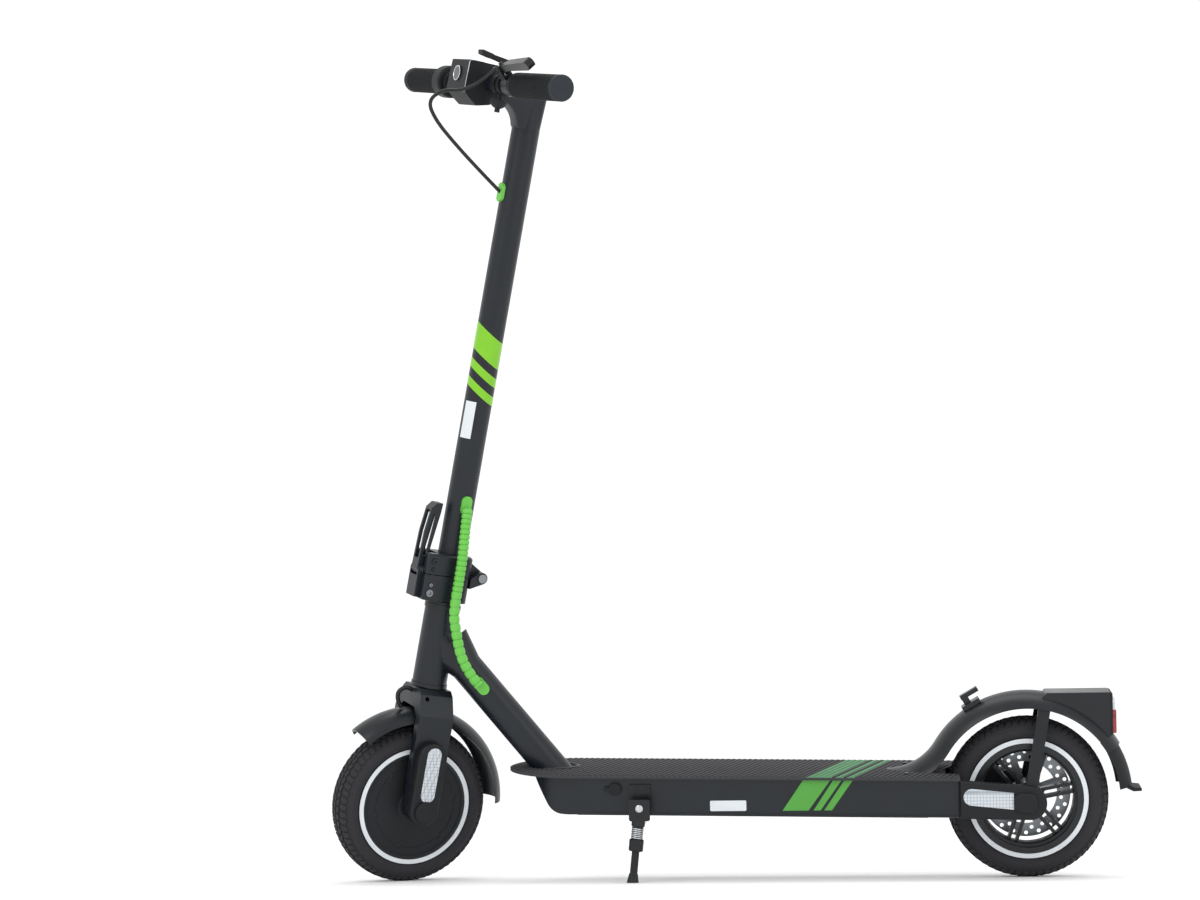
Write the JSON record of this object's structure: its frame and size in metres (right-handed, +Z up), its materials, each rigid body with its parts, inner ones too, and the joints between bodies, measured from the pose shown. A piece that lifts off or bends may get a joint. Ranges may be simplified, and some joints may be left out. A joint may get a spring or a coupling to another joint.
{
  "type": "electric kick scooter",
  "caption": "Folding electric kick scooter on its kickstand: hub-motor front wheel, deck with rubber mat, rear disc brake, fenders, folding stem, bars with display, brake and throttle.",
  "frame": {"origin": "middle of the floor print, on the floor", "axes": "+X towards the rear wheel along the deck, +Z up, +Y to the rider's right; the scooter leans on its kickstand towards -Y with the bars turned left"},
  "size_m": [1.081, 0.4725, 1.1279],
  "materials": {
    "frame_paint": "satin",
    "black_plastic": "matt",
    "fender_plastic": "satin",
    "tyre_rubber": "matt",
    "rubber": "matt",
    "mat_rubber": "matt",
    "green_rubber": "satin",
    "alloy": "satin",
    "motor_alloy": "satin",
    "steel": "bright",
    "black_steel": "satin",
    "reflector": "gloss",
    "red_lens": "gloss",
    "dark_glass": "gloss",
    "core": "matt"
  },
  "bodies": {
    "frame": {"head_tube": "frame_paint", "headset_bearings": "steel", "down_tube": "frame_paint", "down_tube_grommet": "green_rubber", "cable_guard_lower": "green_rubber", "deck_shell": "frame_paint", "deck_bottom_cover": "black_plastic", "deck_mat": "mat_rubber", "deck_electronics": "core", "charge_port": "black_plastic", "rear_arms": "frame_paint", "rear_arm_covers": "black_plastic", "rear_reflectors": "reflector", "brake_caliper": "black_steel", "rear_fender": "fender_plastic", "tail_light_lenses": "red_lens", "mudflap": "rubber", "fender_hook": "fender_plastic", "fender_struts": "black_steel", "frame_fasteners": "black_steel", "kickstand_bracket": "black_steel"},
    "steerer": {"fork": "frame_paint", "fork_covers": "black_plastic", "fork_reflectors": "reflector", "front_axle": "steel", "motor_stator": "black_steel", "front_fender": "fender_plastic", "motor_cable": "rubber", "hinge_base": "frame_paint", "hinge_fasteners": "black_steel"},
    "stem": {"stem_base": "frame_paint", "stem_tube": "frame_paint", "neck": "frame_paint", "handlebar": "motor_alloy", "grips": "rubber", "display_housing": "black_plastic", "display_lenses": "dark_glass", "throttle_housing": "black_plastic", "brake_bracket": "black_steel", "bell": "black_plastic", "brake_cable": "rubber", "stem_grommets": "green_rubber", "cable_guard_upper": "green_rubber"},
    "latch": {"latch_lever": "frame_paint"},
    "front_wheel": {"front_tyre": "tyre_rubber", "front_motor_shell": "motor_alloy", "front_motor_cover": "motor_alloy", "front_wheel_hardware": "black_steel", "front_rings": "reflector"},
    "rear_wheel": {"rear_tyre": "tyre_rubber", "rear_rim": "motor_alloy", "brake_disc": "alloy", "rear_rings": "reflector"},
    "kickstand": {"kickstand_leg": "black_steel"},
    "brake_lever": {"brake_lever": "black_steel"},
    "throttle_lever": {"throttle_lever": "black_plastic"},
    "bell_lever": {"bell_lever": "black_plastic"},
    "power_button": {"power_button": "black_plastic"},
    "charge_flap": {"charge_flap": "rubber"},
    "caliper_arm": {"caliper_arm": "black_steel"}
  },
  "joints": [
    {"name": "steering", "type": "hinge", "parent": "frame", "child": "steerer", "pos_m": [-0.40064, 0.11817, 0.319], "axis": [0.1994, -0.1448, 0.9692], "range_deg": [-91.9, 28.1], "deforming": ["cable_guard_lower"]},
    {"name": "fold", "type": "hinge", "parent": "steerer", "child": "stem", "pos_m": [-0.34826, 0.12504, 0.41243], "axis": [-0.5178, 0.8241, 0.2297], "range_deg": [0, 97], "deforming": ["cable_guard_upper"]},
    {"name": "latch", "type": "hinge", "parent": "steerer", "child": "latch", "pos_m": [-0.41774, 0.07875, 0.42187], "axis": [0.5178, -0.8241, -0.2297], "range_deg": [0, 100]},
    {"name": "front_wheel_spin", "type": "hinge", "parent": "steerer", "child": "front_wheel", "pos_m": [-0.4445, 0.15003, 0.10578], "axis": [-0.5178, 0.8241, 0.2297], "continuous": true},
    {"name": "rear_wheel_spin", "type": "hinge", "parent": "frame", "child": "rear_wheel", "pos_m": [0.3905, 0.14984, 0.10709], "axis": [0, 0.989, 0.1478], "continuous": true},
    {"name": "kickstand", "type": "hinge", "parent": "frame", "child": "kickstand", "pos_m": [-0.122, 0.06617, 0.09863], "axis": [0, -0.989, -0.1478], "range_deg": [0, 80]},
    {"name": "brake_lever", "type": "hinge", "parent": "stem", "child": "brake_lever", "pos_m": [-0.27477, -0.12055, 1.05436], "axis": [0.6875, 0.2411, 0.685], "range_deg": [0, 8], "stiffness_Nm_per_rad": 1, "springref_deg": -5.73},
    {"name": "caliper_arm", "type": "hinge", "parent": "frame", "child": "caliper_arm", "pos_m": [0.34417, 0.19148, 0.14644], "axis": [0, -0.989, -0.1478], "range_deg": [0, 5]},
    {"name": "throttle_lever", "type": "hinge", "parent": "stem", "child": "throttle_lever", "pos_m": [-0.30918, -0.03007, 1.05705], "axis": [-0.5178, 0.8241, 0.2297], "range_deg": [0, 35], "stiffness_Nm_per_rad": 0.3, "springref_deg": -11.46},
    {"name": "bell_lever", "type": "hinge", "parent": "stem", "child": "bell_lever", "pos_m": [-0.30918, -0.03007, 1.05705], "axis": [0.5178, -0.8241, -0.2297], "range_deg": [0, 10], "stiffness_Nm_per_rad": 0.3, "springref_deg": -11.46},
    {"name": "power_button", "type": "slide", "parent": "stem", "child": "power_button", "axis": [-0.1994, 0.1448, -0.9692], "range_m": [0, 0.0015], "stiffness_N_per_m": 800, "springref_m": -0.001},
    {"name": "charge_flap", "type": "hinge", "parent": "frame", "child": "charge_flap", "pos_m": [-0.16767, 0.07358, 0.12277], "axis": [-0.0175, 0.1478, -0.9889], "range_deg": [0, 120]}
  ],
  "couplings": [
    {"joint": "caliper_arm", "follows": "brake_lever", "ratio": 0.6}
  ]
}
